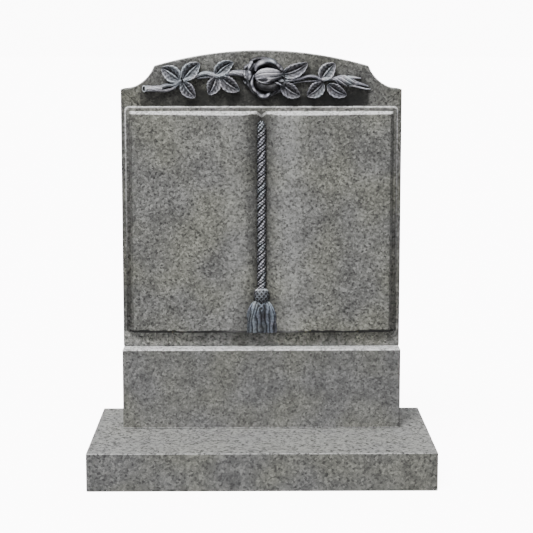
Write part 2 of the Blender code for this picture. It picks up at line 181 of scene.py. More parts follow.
def shell(name, rings, material, slot="tablet_granite", node="tablet", **attributes):
    """A closed skin over rings, an array of rings by points by 3, each end drawn to its ring's middle.

    Face (i, j) joins points j and j + 1 of rings i and i + 1, round and round; a fan closes each end.
    If the volume of the tetrahedra from the origin to the faces comes out negative, all are turned.
    Each attribute has a number for every ring and point, and its mean at the two middles."""
    rings = np.asarray(rings, float)
    n, m = rings.shape[:2]
    points = np.vstack((rings.reshape(-1, 3), rings[0].mean(0), rings[-1].mean(0)))
    i, j = np.meshgrid(np.arange(n - 1), np.arange(m), indexing="ij")
    k = (j + 1) % m
    quads = np.stack((i * m + j, i * m + k, (i + 1) * m + k, (i + 1) * m + j), -1).reshape(-1, 4)
    around = np.arange(m)
    ahead = (around + 1) % m
    first = np.column_stack((ahead, around, np.full(m, n * m)))
    last = np.column_stack((around, ahead, np.full(m, n * m + 1))) + [(n - 1) * m, (n - 1) * m, 0]
    triangles = np.vstack((quads[:, [0, 1, 2]], quads[:, [0, 2, 3]], first, last))
    corners = points[triangles]
    volume = np.einsum("ij,ij->", corners[:, 0], np.cross(corners[:, 1], corners[:, 2]))
    faces = quads.tolist() + first.tolist() + last.tolist()
    if volume < 0:
        faces = [face[::-1] for face in faces]
    mesh = bpy.data.meshes.new(name)
    mesh.from_pydata(points, [], faces)
    for label, values in attributes.items():
        values = np.broadcast_to(np.asarray(values, float), (n, m))
        flat = np.concatenate((values.ravel(), [values[0].mean(), values[-1].mean()]))
        mesh.attributes.new(label, "FLOAT", "POINT").data.foreach_set("value", flat)
    mesh.shade_smooth()
    mesh.materials.append(material)
    piece = placed(name, mesh)
    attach(piece, "root")
    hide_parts(node)


def eased(low, high, arris):
    """The profile of a block's side: (inset, height, rubbed) up over both of its rounded arrises.

    Each arris is a quarter circle, painted pale by the sine of twice its angle, as wear and painted
    highlight, with one more ring just inside both faces to keep them flat."""
    turn = np.linspace(0, math.pi / 2, ARRIS_STEPS + 1)
    growing, shrinking = arris * (1 - np.cos(turn)), arris * (1 - np.sin(turn))
    rubbed = np.sin(2 * turn)
    held = arris + EDGE_HOLD
    return np.vstack((
        (held, low, 0),
        np.column_stack((shrinking, low + growing, rubbed)),
        (0, low + held, 0),
        (0, high - held, 0),
        np.column_stack((growing, high - shrinking, rubbed)),
        (held, high, 0),
    ))


def rounded_rectangle(low, high, corner, inset):
    """Points round a rectangle drawn in by inset: a quarter circle round each corner's own centre."""
    turn = np.linspace(0, math.pi / 2, CORNER_STEPS + 1)
    radius = corner - inset
    corners = ((high[0], high[1]), (low[0], high[1]), (low[0], low[1]), (high[0], low[1]))
    inwards = ((-1, -1), (1, -1), (1, 1), (-1, 1))
    parts = []
    for quarter in range(4):
        angle = turn + quarter * math.pi / 2
        centre = np.array(corners[quarter]) + corner * np.array(inwards[quarter])
        parts.append(centre + radius * np.column_stack((np.cos(angle), np.sin(angle))))
    return np.vstack(parts)


def granite_block(node, low, high, arris, corner, material, slot, top_rubbed, soiled_right):
    """A sawn block with rounded arrises: its outline carried up the eased profile of its sides.

    Its top is painted pale by top_rubbed, as painted light. It is painted darker evenly, from
    none at its left end to soiled_right at its right end."""
    profile = eased(low[2], high[2], arris)
    profile[-2:, 2] = top_rubbed
    rings = []
    for inset, height, _ in profile:
        edge = rounded_rectangle(low[:2], high[:2], corner, inset)
        rings.append(np.column_stack((edge, np.full(len(edge), height))))
    soiled = soiled_right * (np.array(rings)[:, :, 0] > 0)
    shell(node + "_block", rings, material, slot, node, rubbed=profile[:, 2:], soiled=soiled)


slab_granite = rubbed_granite(
    "rubbed grey granite, base slab", SLAB_TONES, ("#303030", "#bebebc"), grain_mm=SLAB_GRAIN_MM
)
# Its top is painted paler, as painted light, and its right end a little darker
granite_block(
    "base_slab", SLAB_LOW, SLAB_HIGH, SLAB_ARRIS, SLAB_CORNER, slab_granite, "base_granite",
    top_rubbed=0.55, soiled_right=0.07,
)


# Plinth
# The real piece is a sawn block of the same granite, bedded on the base slab near its back edge. Its
# edges are rounded a little more than the slab's, and its top is painted pale, as painted light.

PLINTH_LOW, PLINTH_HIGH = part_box("plinth")
PLINTH_ARRIS = 0.0045
PLINTH_CORNER = 0.006
PLINTH_TONES = ((0.05, "#525251"), (0.35, "#797978"), (0.65, "#8e8e8c"), (0.95, "#aeaeab"))
plinth_granite = rubbed_granite("rubbed grey granite, plinth", PLINTH_TONES, ("#8c8c8a", "#ffffff"))
# Its top is painted pale all over, as painted light, and its right end a little darker
granite_block(
    "plinth", PLINTH_LOW, PLINTH_HIGH, PLINTH_ARRIS, PLINTH_CORNER, plinth_granite, "plinth_granite",
    top_rubbed=1.0, soiled_right=0.05,
)


# Tablet
# The real piece is one upright block of granite, 102 mm thick, that stands on the plinth. Its head is
# sawn to a low arch between two scooped shoulders, and all that follows is carved out of its face.

TABLET_LOW, TABLET_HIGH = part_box("tablet")
TABLET_THICKNESS = 0.102
TABLET_HALF = TABLET_HIGH[0]
FOOT, HEAD = TABLET_LOW[2], TABLET_HIGH[2]
FACE = TABLET_HIGH[1] - TABLET_THICKNESS
ARCH_RISE = 0.041
SHOULDER_WIDTH = 0.091
SHOULDER_DROP = 0.063
SCOOP_FOOT = HEAD - ARCH_RISE - SHOULDER_DROP
TABLET_ARRIS = 0.003
OUTLINE_STEP = 0.0015
ARCH_STEPS, SCOOP_STEPS = 200, 60
# How pale the head's arrises are painted, as wear and painted highlight, and how dark the side arrises are
# painted, as painted shade
HEAD_WEAR_AND_SHEEN = 0.7
SIDE_SHADE = 0.5
TABLET_TONES = ((0.05, "#464644"), (0.35, "#7c7c79"), (0.65, "#979793"), (0.95, "#c4c4bf"))


def arc(centre, radius, start, end, steps):
    """Points along a circle's arc from one angle to another, in degrees, both ends included."""
    angles = np.radians(np.linspace(start, end, steps + 1))
    return np.array(centre) + radius * np.column_stack((np.cos(angles), np.sin(angles)))


def tablet_outline():
    """The head's arch and scoops over the two sides, stepped evenly, then softened at its corners.

    Each circle's radius is (width squared + rise squared) / (2 rise). The corners are softened by
    taking the mean of each point and its neighbours twice."""
    arch_half = TABLET_HALF - SHOULDER_WIDTH
    arch_radius = (arch_half**2 + ARCH_RISE**2) / (2 * ARCH_RISE)
    arch_angle = math.degrees(math.asin(arch_half / arch_radius))
    scoop_radius = (SHOULDER_WIDTH**2 + SHOULDER_DROP**2) / (2 * SHOULDER_DROP)
    scoop_angle = math.degrees(math.asin(SHOULDER_WIDTH / scoop_radius))
    scoop_middle = (TABLET_HALF, SCOOP_FOOT + scoop_radius)
    right = arc(scoop_middle, scoop_radius, 270, 270 - scoop_angle, SCOOP_STEPS)
    arch = arc((0.0, HEAD - arch_radius), arch_radius, 90 - arch_angle, 90 + arch_angle, ARCH_STEPS)
    left = right[::-1] * (-1, 1)
    feet = [(-TABLET_HALF, FOOT), (TABLET_HALF, FOOT), right[0]]
    corners = np.vstack((right[:-1], arch, left[1:], feet))
    walked = np.concatenate(([0], np.cumsum(np.linalg.norm(np.diff(corners, axis=0), axis=1))))
    even = np.linspace(0, walked[-1], round(walked[-1] / OUTLINE_STEP) + 1)[:-1]
    outline = np.column_stack([np.interp(even, walked, corners[:, axis]) for axis in (0, 1)])
    for _ in range(2):
        outline = (np.roll(outline, 1, 0) + outline + np.roll(outline, -1, 0)) / 3
    return outline


def drawn_in(outline, distance):
    """A closed outline moved inwards: along the sum of its two edges' inward normals at each point,
    over one plus the cosine of the angle between them."""
    way = np.roll(outline, -1, 0) - outline
    way /= np.linalg.norm(way, axis=1, keepdims=True)
    normal = np.column_stack((-way[:, 1], way[:, 0]))
    before = np.roll(normal, 1, 0)
    mean = (normal + before) / (1 + (normal * before).sum(1, keepdims=True))
    return outline + distance * mean


def climb(value, start, run):
    """0 up to start, then evenly up to 1 over the run, and 1 from there on."""
    return np.clip((value - start) / run, 0, 1)


def bell(value, middle, spread):
    """1 at the middle, falling on both sides: e to the minus square of (value - middle) / spread."""
    return np.exp(-(((value - middle) / spread) ** 2))


def on_face(places, reliefs):
    """Points at places x, z on the tablet's face, standing out of it by reliefs."""
    reliefs = np.broadcast_to(reliefs, places.shape[:-1])
    return np.stack((places[..., 0], FACE - reliefs, places[..., 1]), -1)


def paint_light_and_shade(tree, place, colour):
    """Painted shade and painted light on the front: painted shade round the spray, beside the book and
    the tassel, darker patches on the shoulders, a painted shadow line under the pages' foot, and
    painted light on the band under the book. Each patch is the product of soft steps in x and z whose
    edges wander with a noise, broken up in places by a broader noise, on the front alone. Its tone is
    overlaid on the stone's own colour, which it multiplies by twice the tone's linear value, so the
    palest one lightens it."""
    axes = add(tree, "SeparateXYZ", [("Vector", wandering(tree, place, 60.0, 2.0, 0.012))])
    patchiness = add(tree, "TexNoise", [("Vector", place), ("Scale", 26.0), ("Detail", 2.0)]).outputs["Fac"]
    patchiness = [("Value", patchiness), ("From Min", 0.36), ("From Max", 0.60), ("To Min", 1.0), ("To Max", 0.0)]
    patchiness = add(tree, "MapRange", patchiness).outputs[0]
    for tone, strength, fading, steps in LIGHT_AND_SHADE_PATCHES:
        mask = [("Value", patchiness), ("To Min", strength * (1 - fading)), ("To Max", strength)]
        mask = add(tree, "MapRange", mask).outputs[0]
        for axis, outside, inside in steps + (FRONT_STEP,):
            step = [("Value", axes.outputs[axis]), ("From Min", outside), ("From Max", inside)]
            step = add(tree, "MapRange", step, interpolation_type="SMOOTHSTEP").outputs[0]
            mask = add(tree, "Math", [(0, mask), (1, step)], operation="MULTIPLY").outputs[0]
        mixed = [("Factor", mask), (6, colour), (7, linear(tone))]
        colour = add(tree, "Mix", mixed, data_type="RGBA", blend_type="OVERLAY").outputs[2]
    return colour


FRONT_STEP = ("Y", FACE + 0.006, FACE + 0.003)
ABOVE_BOOK = ("Z", 0.98, 0.985)
OVER_LEDGE, UNDER_PAGES = ("Z", 0.322, 0.328), ("Z", 0.374, 0.372)
# Painted tone, strength, how much of it fades away in places, and soft steps as axis, place outside
# and place inside. In order: painted shade behind the spray, from broad and faint to narrow and dark;
# painted light on the band under the book, a painted black shadow line under the pages, and the
# band's right half painted duller; darker patches on both shoulders and the right of the arch;
# painted shade on both sides of the book, on the pages beside the tassel and left of the cord's top
LIGHT_AND_SHADE_PATCHES = (
    ("#636360", 0.45, 0.5, (("X", -0.365, -0.3), ("X", 0.36, 0.3), ("Z", 1.13, 1.09), ABOVE_BOOK)),
    ("#575752", 0.65, 0.4, (("X", -0.29, -0.2), ("X", 0.298, 0.27), ("Z", 1.1, 1.06), ABOVE_BOOK)),
    ("#3b3b35", 0.92, 0.3, (("X", -0.331, -0.324), ("X", 0.298, 0.288), ("Z", 1.046, 1.022), ABOVE_BOOK)),
    ("#333331", 0.8, 0.3, (("X", 0.04, 0.08), ("X", 0.298, 0.284), ("Z", 1.026, 1.006), ABOVE_BOOK)),
    ("#dadada", 1.0, 0.2, (("X", -0.39, -0.38), ("X", 0.39, 0.38), OVER_LEDGE, UNDER_PAGES)),
    ("#101010", 0.98, 0.0, (("X", -0.366, -0.36), ("X", 0.366, 0.36), ("Z", 0.3642, 0.3656), UNDER_PAGES)),
    ("#949494", 0.7, 0.2, (("X", 0.0, 0.2), ("X", 0.39, 0.38), OVER_LEDGE, UNDER_PAGES)),
    ("#aaaaa7", 1.0, 0.3, (("X", -0.29, -0.33), ("Z", 0.984, 0.994), ("Z", 1.11, 1.07))),
    ("#aaaaa7", 1.0, 0.3, (("X", 0.29, 0.32), ("Z", 0.984, 0.994), ("Z", 1.11, 1.07))),
    ("#8c8c88", 0.55, 0.3, (("X", 0.05, 0.08), ("X", 0.21, 0.17), ("Z", 1.05, 1.08), ("Z", 1.14, 1.128))),
    ("#636360", 0.5, 0.2, (("X", -0.369, -0.373), ("Z", 1.06, 1.0), ("Z", 0.375, 0.395))),
    ("#636360", 0.45, 0.2, (("X", 0.369, 0.373), ("Z", 1.06, 1.0), ("Z", 0.375, 0.395))),
    ("#646460", 0.42, 0.0, (("X", -0.086, -0.062), ("X", 0.078, 0.056), ("Z", 0.5, 0.45))),
    ("#62626a", 0.38, 0.1, (("X", -0.094, -0.08), ("X", 0.01, 0.0), ("Z", 0.75, 0.82))),
)
# The tablet's granite takes the painted patches of shade and light
tablet_granite = rubbed_granite(
    "rubbed grey granite, tablet", TABLET_TONES, ("#a6a6a2", "#ffffff"), shading_patches=paint_light_and_shade
)
tablet_edge = tablet_outline()
tablet_profile = eased(-TABLET_THICKNESS, 0.0, TABLET_ARRIS)
tablet_rings = [on_face(drawn_in(tablet_edge, inset), height) for inset, height, _ in tablet_profile]
on_head = climb(tablet_edge[:, 1], SCOOP_FOOT, 0.004)
shell(
    "tablet_slab",
    tablet_rings,
    tablet_granite,
    rubbed=tablet_profile[:, 2:] * HEAD_WEAR_AND_SHEEN * on_head,
    soiled=tablet_profile[:, 2:] * SIDE_SHADE * (1 - on_head),
)


# Book: cover
# The book's cover is the lowest step of the carving, a flat plate cut 8 mm proud of the face. Its edge
# is a chamfer at the top and sides, and its two top corners are rounded.

# How far behind the face the skin of each carved form starts
ROOT = 0.004
COVER_HALF = TABLET_HALF - 0.010
COVER_TOP = HEAD - 0.150
COVER_RELIEF = 0.008
COVER_SLOPE = 0.006
COVER_CORNER = 0.012
PAGE_FOOT = FOOT + 0.042


def cover_ring(inset):
    """The cover's outline drawn in by inset at its top and sides, with quarter circles at the top."""
    half = COVER_HALF - inset
    top = COVER_TOP - inset
    radius = COVER_CORNER - inset / 2
    right = arc((half - radius, top - radius), radius, 0, 90, 10)
    sides = [(-half, PAGE_FOOT + 0.0005), (half, PAGE_FOOT + 0.0005)]
    return np.vstack((right, right[::-1] * (-1, 1), sides))


# Inset, relief and rubbed from the root up over the chamfer, whose outer edge is palest, as wear and
# painted highlight
cover_profile = np.array([
    (0.0, -ROOT, 0.0),
    (0.0, 0.0, 0.2),
    (0.0004, 0.0010, 1.0),
    (0.0030, 0.0040, 1.0),
    (0.0042, 0.0055, 0.4),
    (COVER_SLOPE - 0.0008, COVER_RELIEF - 0.0008, 0.05),
    (COVER_SLOPE, COVER_RELIEF - 0.0002, 0.0),
    (COVER_SLOPE + 0.0010, COVER_RELIEF, 0.0),
    (COVER_SLOPE + 0.0020, COVER_RELIEF, 0.0),
])
cover_rings = [on_face(cover_ring(inset), relief) for inset, relief, _ in cover_profile]
cover_tops = np.array(cover_rings)[:, :, 2] > COVER_TOP - 0.02
cover_rubbed = cover_profile[:, 2:]
# The cover's top chamfer is painted pale, as wear and painted highlight, and its side chamfers dark, as
# painted shade
shell(
    "book_cover",
    cover_rings,
    tablet_granite,
    rubbed=cover_rubbed * np.where(cover_tops, 0.9, 0.0),
    soiled=np.where(cover_tops, 0.22 * (1 - cover_rubbed), 0.06 + 0.24 * (cover_rubbed > 0)),
)


# Book: pages
# The two open leaves are one raised form: they rise round out of the gutter, fall slowly to the fore
# edges, and end at the top in a chamfer that stands for the thickness of the pages.

PAGE_HALF = COVER_HALF - 0.0125
PAGE_TOP = COVER_TOP - 0.013
FORE_EDGE_RELIEF = 0.021
FORE_EDGE_SLOPE = 0.010
FACE_EDGE = PAGE_HALF - FORE_EDGE_SLOPE
CROWN_RELIEF = 0.027
GUTTER_RELIEF = 0.010
GUTTER_HALF = 0.060
PAGE_TOP_SLOPE = 0.5
NOTCH_HALF = 0.013
NOTCH_DEPTH = 0.010


def page_relief(x):
    """Height of the open pages: a parabola out of the gutter, then a fall with the square of the
    distance to the fore edge, and a curved slope down to the cover beyond it."""
    away = np.abs(x)
    near = np.clip(away / GUTTER_HALF, 0, 1)
    far = climb(away, GUTTER_HALF, FACE_EDGE - GUTTER_HALF)
    rise = GUTTER_RELIEF + (CROWN_RELIEF - GUTTER_RELIEF) * near * (2 - near)
    crown = rise - (CROWN_RELIEF - FORE_EDGE_RELIEF) * far**2
    edge = climb(away, FACE_EDGE, FORE_EDGE_SLOPE)
    return crown + (COVER_RELIEF + 0.0005 - crown) * edge**1.4


def page_rings():
    """A section of the pages at each x: up the foot, over its arris, up the face, over the chamfer.

    Points 0 to 3 are the foot and its arris, 4 and 5 the two ends of the face, and 6 to 12 the
    chamfer, which is notched over the cord. Returns the rings, how far each point is painted pale, on
    the chamfer as wear and painted highlight and as a faint painted highlight on both crowns, and how
    far it is painted dark, as painted shade with a little soot at the foot."""
    turn = np.linspace(0, math.pi / 2, 60)
    near = GUTTER_HALF * (1 - np.cos(turn))
    far = np.linspace(GUTTER_HALF, FACE_EDGE - 0.001, 40)[1:]
    beyond = np.array([-0.02, 0.03, 0.08, 0.15, 0.25, 0.4, 0.55, 0.7, 0.85, 1.0])
    edge = FACE_EDGE + FORE_EDGE_SLOPE * beyond
    right = np.unique(np.round(np.concatenate((near, [NOTCH_HALF], far, edge)), 6))
    x = np.concatenate((-right[:0:-1], right))[:, None]
    relief = page_relief(x)
    foot = COVER_RELIEF - 0.0005
    top = PAGE_TOP - NOTCH_DEPTH * np.clip(1 - np.abs(x) / NOTCH_HALF, 0, 1)
    height = relief - foot
    shoulder = top - PAGE_TOP_SLOPE * np.maximum(height, 0.014)
    soft = np.minimum(0.0012, height / 4)
    low, root = PAGE_FOOT + 0 * x, 0 * x - ROOT
    heights = np.hstack([
        low, low, low + 0.3 * soft, low + soft, low + 2 * soft, shoulder - 2 * soft,
        shoulder - 0.8 * soft, shoulder, shoulder + 0.6 * soft, shoulder + 1.4 * soft,
        top - 0.5 * soft, top, top,
    ])
    reliefs = np.hstack([
        root, relief - soft, relief - 0.3 * soft, relief, relief, relief,
        relief - 0.1 * soft, relief - 0.5 * soft, relief - 1.4 * soft, relief - 3.0 * soft,
        foot + 0.7 * soft, foot + 0 * x, root,
    ])
    # Pale: the chamfer, as wear and painted highlight, then a faint painted highlight on each crown beside
    # the gutter
    rubbed = np.array([0, 0, 0, 0, 0, 0, 0.4, 0.9, 1, 1, 1, 0.8, 0]) * np.clip(height / 0.012, 0.2, 1)
    rubbed = np.maximum(rubbed, 0.15 * bell(x, 0.080, 0.03) * (x > 0))
    rubbed = np.maximum(rubbed, 0.09 * bell(x, -0.075, 0.03) * (x < 0))
    # Painted shade, with a little soot at the foot: the foot, low on both crowns, high on the left, the
    # gutter, the right page's middle, near the fore edges and over them
    soiled = np.array([1, 0.9, 0.7, 0.2, 0, 0, 0, 0, 0, 0, 0, 0, 0]) + 0 * x
    soiled[:, 3:5] += 0.12 * bell(np.abs(x), 0.09, 0.05)
    soiled[:, 5:7] += 0.10 * climb(-x, 0.15, 0.10)
    soiled = np.maximum(soiled, 0.85 * np.clip(1 - np.abs(x) / 0.046, 0, 1))
    soiled = np.maximum(soiled, 0.07 * bell(x, 0.21, 0.07))
    soiled = np.maximum(soiled, 0.07 * climb(np.abs(x), 0.27, 0.06))
    soiled = np.maximum(soiled, 0.45 * climb(np.abs(x), FACE_EDGE, 0.002))
    places = np.stack((np.broadcast_to(x, heights.shape), heights), -1)
    return on_face(places, reliefs), rubbed, soiled * (1 - rubbed)


page_skin, page_rubbed, page_soiled = page_rings()
shell("book_pages", page_skin, tablet_granite, rubbed=page_rubbed, soiled=page_soiled)


# Cord
# A twisted cord of three strands, each of two threads, is carved in the gutter between the pages. It
# is left from the chisel, so it is lighter and cooler than the rubbed faces, and its grooves and
# sides are painted dark, as shade.

CORD_MIDDLE = 0.017
CORD_RADIUS = 0.0135
CORD_PITCH = 0.063
CORD_TOP = PAGE_TOP - 0.026
CORD_FOOT = PAGE_FOOT + 0.100


def chiselled_granite(name, tints):
    """The same granite left from the chisel: matt and finely bruised, so it looks lighter and bluer.

    The attribute tone, 0 in the deepest recess and 1 on the highest ridge, is painted light
    and shade: dark in recesses and on sides turned from the lamp, as painted shade, and pale on
    ridges, as painted highlight. Bruised grains are 1 to 2 mm, and are drawn 3.2 mm wide, because
    smaller ones wouldn't show in the render."""
    material, tree, shader = new_material(name)
    place = add(tree, "TexCoord").outputs["Object"]
    grain = stone_grain(tree, place, 3.2, 9.0)
    tone = add(tree, "Attribute", attribute_name="tone").outputs["Fac"]
    drift = add(tree, "MapRange", [("Value", grain), ("To Min", -0.16), ("To Max", 0.16)]).outputs[0]
    mixed = add(tree, "Math", [(0, tone), (1, drift)]).outputs[0]
    stops = ((0.0, "#101012"), (0.25, "#2c2c30"), (0.5, "#6e6e73"), (0.75, "#a2a2a8"), (1.0, "#ececee"))
    colour = add(tree, "ValToRGB", [("Fac", mixed)], stops).outputs["Color"]
    colour = mottled(tree, place, colour, 18.0, 1.0, tints)
    tree.links.new(colour, shader.inputs["Base Color"])
    shader.inputs["Roughness"].default_value = 0.55
    shader.inputs["IOR"].default_value = GRANITE_IOR
    bump = add(tree, "Bump", [("Height", grain), ("Strength", 0.25), ("Distance", 0.0005)])
    tree.links.new(bump.outputs["Normal"], shader.inputs["Normal"])
    return material


SPRAY_TINTS = ((0.4, "#f6f7ff"), (0.5, "#fffdff"), (0.62, "#f2fbff"))
TASSEL_TINTS = ((0.4, "#e6e6f4"), (0.5, "#d8eaf8"), (0.62, "#eef8f4"))
carved_granite = chiselled_granite("chiselled grey granite, spray and cord", SPRAY_TINTS)
tassel_granite = chiselled_granite("chiselled grey granite, tassel", TASSEL_TINTS)


def carved(name, places, reliefs, tones, undercut=0.0, material=carved_granite):
    """A form raised out of the face: a grid of places and reliefs, with flanks down to its root.

    From each section's two ends the flank goes down by way of a point at 0.4 of the relief and of
    the painted tone, drawn towards the section's middle by undercut, and stops a little
    behind the face, painted darkest there, as shade."""
    middle = (places[:, :1] + places[:, -1:]) / 2
    ends = places[:, [-1, -1, 0, 0]]
    waist = ends + (middle - ends) * undercut
    low = np.full(len(reliefs), -ROOT)
    flank_reliefs = np.stack((0.4 * reliefs[:, -1], low, low, 0.4 * reliefs[:, 0]), -1)
    dark = np.zeros(len(tones))
    flank_tones = np.stack((0.4 * tones[:, -1], dark, dark, 0.4 * tones[:, 0]), -1)
    rings = on_face(np.concatenate((places, waist), 1), np.concatenate((reliefs, flank_reliefs), 1))
    tones = np.clip(np.concatenate((tones, flank_tones), 1), 0, 1)
    shell(name, rings, material, tone=tones)


def gutter_form(name, heights, radii, tones):
    """A round form in the gutter: places and reliefs are radius times the cosine and sine of the
    angle across, from right to left, about a line that stands CORD_MIDDLE out of the face."""
    angles = np.linspace(0, math.pi, radii.shape[1])[None, :]
    across = radii * np.cos(angles)
    places = np.stack((across, np.broadcast_to(heights[:, None], across.shape)), -1)
    carved(name, places, CORD_MIDDLE + radii * np.sin(angles), tones * 0.95)


def cord():
    """Radius at a height and angle: with phase as angle plus turn and a slow wave of the turn, three
    round strands follow the size of cos(1.5 phase), two threads on each the size of sin(3 phase), and
    nicks across them a finer wave that climbs the other way. All are drawn in towards the top."""
    heights = np.linspace(CORD_FOOT, CORD_TOP, 560)
    angles = np.linspace(0, math.pi, 41)[None, :]
    turn = 2 * math.pi * (heights[:, None] - CORD_FOOT) / CORD_PITCH
    phase = angles + turn + 0.22 * np.sin(1.7 * turn)
    strand = np.clip(np.abs(np.cos(1.5 * phase)) - 0.16, 0, 1) ** 0.5 / 0.92
    thread = np.abs(np.sin(3 * phase)) ** 0.8
    nick = np.abs(np.cos(3.6 * turn - 2.6 * angles)) ** 1.5
    rounding = np.sqrt(np.minimum(1.0, (CORD_TOP - heights[:, None]) / CORD_RADIUS + 0.1))
    radii = CORD_RADIUS * (0.64 + 0.22 * strand + (0.09 * thread + 0.05 * nick) * strand) * rounding
    # Painted light and shade: pale on the threads' crests, darker towards the cord's sides, which turn
    # from the lamp, and varied with the nicks
    front = np.sin(angles)
    tones = strand * (0.12 + 0.48 * thread) + 0.42 * thread**4 * strand**2
    tones = 0.04 + 1.1 * tones * (0.2 + 0.8 * front**1.5) * (0.55 + 0.75 * nick)
    gutter_form("cord", heights, radii, tones)


cord()


# Tassel
# The cord ends in a round knot under a net of threads, and a skirt of strands hangs from it down to
# the foot of the pages. The carver has let the net run down over the skirt in a point.

HEAD_HALF_WIDTH = 0.0225
HEAD_HALF_HEIGHT = 0.022
HEAD_MIDDLE = PAGE_FOOT + 0.103
SKIRT_FOOT = PAGE_FOOT + 0.001
SKIRT_HEIGHT = 0.089
SKIRT_HALF = 0.054
SKIRT_RISE = 0.026
NET_SPACING = 0.0136


def diamonds(across, up, spacing):
    """A net of diamonds: the larger of two waves, |cos| of the sum and of the difference of the two
    directions over spacing, sharpened. 1 on a thread and 0 in a hole."""
    one = np.abs(np.cos(math.pi * (across + up) / spacing))
    two = np.abs(np.cos(math.pi * (across - up) / spacing))
    return np.clip(np.maximum(one, two) ** 3 - 0.1, 0, 1)


def tassel_head():
    """An egg: radius is the sine of the polar angle, plus 1.5 mm on each thread of the net and on the
    plain collar that closes it at the top."""
    polar = np.linspace(0.1, math.pi - 0.1, 90)[:, None]
    angles = np.linspace(0, math.pi, 61)[None, :]
    heights = HEAD_MIDDLE - HEAD_HALF_HEIGHT * np.cos(polar)
    net = diamonds((angles - math.pi / 2) * HEAD_HALF_WIDTH, heights - HEAD_MIDDLE, NET_SPACING)
    crown = np.clip((heights - HEAD_MIDDLE) / HEAD_HALF_HEIGHT, -1, 1)
    collar = climb(crown, 0.50 + 0.22 * np.sin(angles) ** 3, 0.14)
    radii = (HEAD_HALF_WIDTH - 0.0012 + 0.0015 * net * (1 - collar) + 0.0012 * collar) * np.sin(polar)
    # Painted light and shade: the net's threads pale and its holes dark, darker towards the sides, which
    # turn from the lamp, and the collar painted pale as a highlight
    tones = (0.06 + 0.62 * net) * (0.35 + 0.65 * np.sin(angles)) * (1 - collar) + 0.92 * collar
    gutter_form("tassel_knot", heights[:, 0], radii, tones)


def tassel_skirt():
    """A bell: half width is 0.15 plus 0.85 of (1 - height ** 3.2) ** 0.4, cut into waving strands.

    Strand depth is |cos| of 13 times the angle plus slow waves of the height and angle, so that the
    strands drift together and apart. The net's point covers its top middle, over a hollow painted
    dark as shade, and the strands that spread round it on both sides are painted pale as highlights.
    The skirt is painted darker towards its sides, which turn from the lamp."""
    share = np.linspace(0, 1, 100)[:, None]
    angles = np.linspace(0, math.pi, 301)[None, :]
    half = SKIRT_HALF * (0.15 + 0.85 * (1 - share**3.2) ** 0.4)
    rise = SKIRT_RISE * (0.35 + 0.65 * (1 - share**5) ** 0.5)
    wave = 0.70 * np.sin(5 * share + 5 * np.cos(2 * angles)) + 0.42 * np.sin(12 * share + 9 * angles)
    phase = 13 * angles + wave
    strand = np.clip(np.abs(np.cos(phase)) - 0.08, 0, 1) ** 0.45
    thick = 0.75 + 0.25 * np.sin(6.6 * angles + 1.0)
    form = 0.90 + 0.13 * strand * thick
    across = half * np.cos(angles) * form
    heights = SKIRT_FOOT + SKIRT_HEIGHT * share
    reliefs = GUTTER_RELIEF + rise * np.sin(angles) ** 0.85 * form
    point = np.clip(1 - np.abs(across) / 0.0155 - (0.95 - share) / 0.30, 0, 1)
    net = diamonds(across, heights + 0 * across - HEAD_MIDDLE, NET_SPACING)
    covered = np.clip(point * 6, 0, 1)
    reliefs = reliefs + covered * 0.0012 * net
    tones = 0.08 + 0.53 * strand * thick + 0.17 * strand**4 * np.sin(phase + 0.6) ** 2
    tones = tones - 0.22 * bell(across, 0.006, 0.006) * bell(share, 0.55, 0.10)
    shoulder = climb(share, 0.5, 0.4) * climb(np.abs(np.cos(angles)), 0.35, 0.4)
    tones = tones * (0.9 + 0.1 * share) + 0.48 * shoulder * strand
    tones = tones * (1 - covered) + covered * (0.12 + 0.55 * net)
    tones = tones * (0.55 + 0.45 * np.sin(angles) ** 0.5)
    places = np.stack((across, np.broadcast_to(heights, across.shape)), -1)
    carved("tassel_skirt", places, reliefs, tones, material=tassel_granite)


tassel_head()
tassel_skirt()


# Spray: stems and sepals
# The stalks of the spray are carved half round, thick at the cut end on the left and thin by the bud.
# Places are in mm across and up from a point on the tablet's middle line, 77 mm below its top.

SPRAY_MIDDLE = np.array((0.0, HEAD - 0.077))
SPRAY_SCALE = 0.985
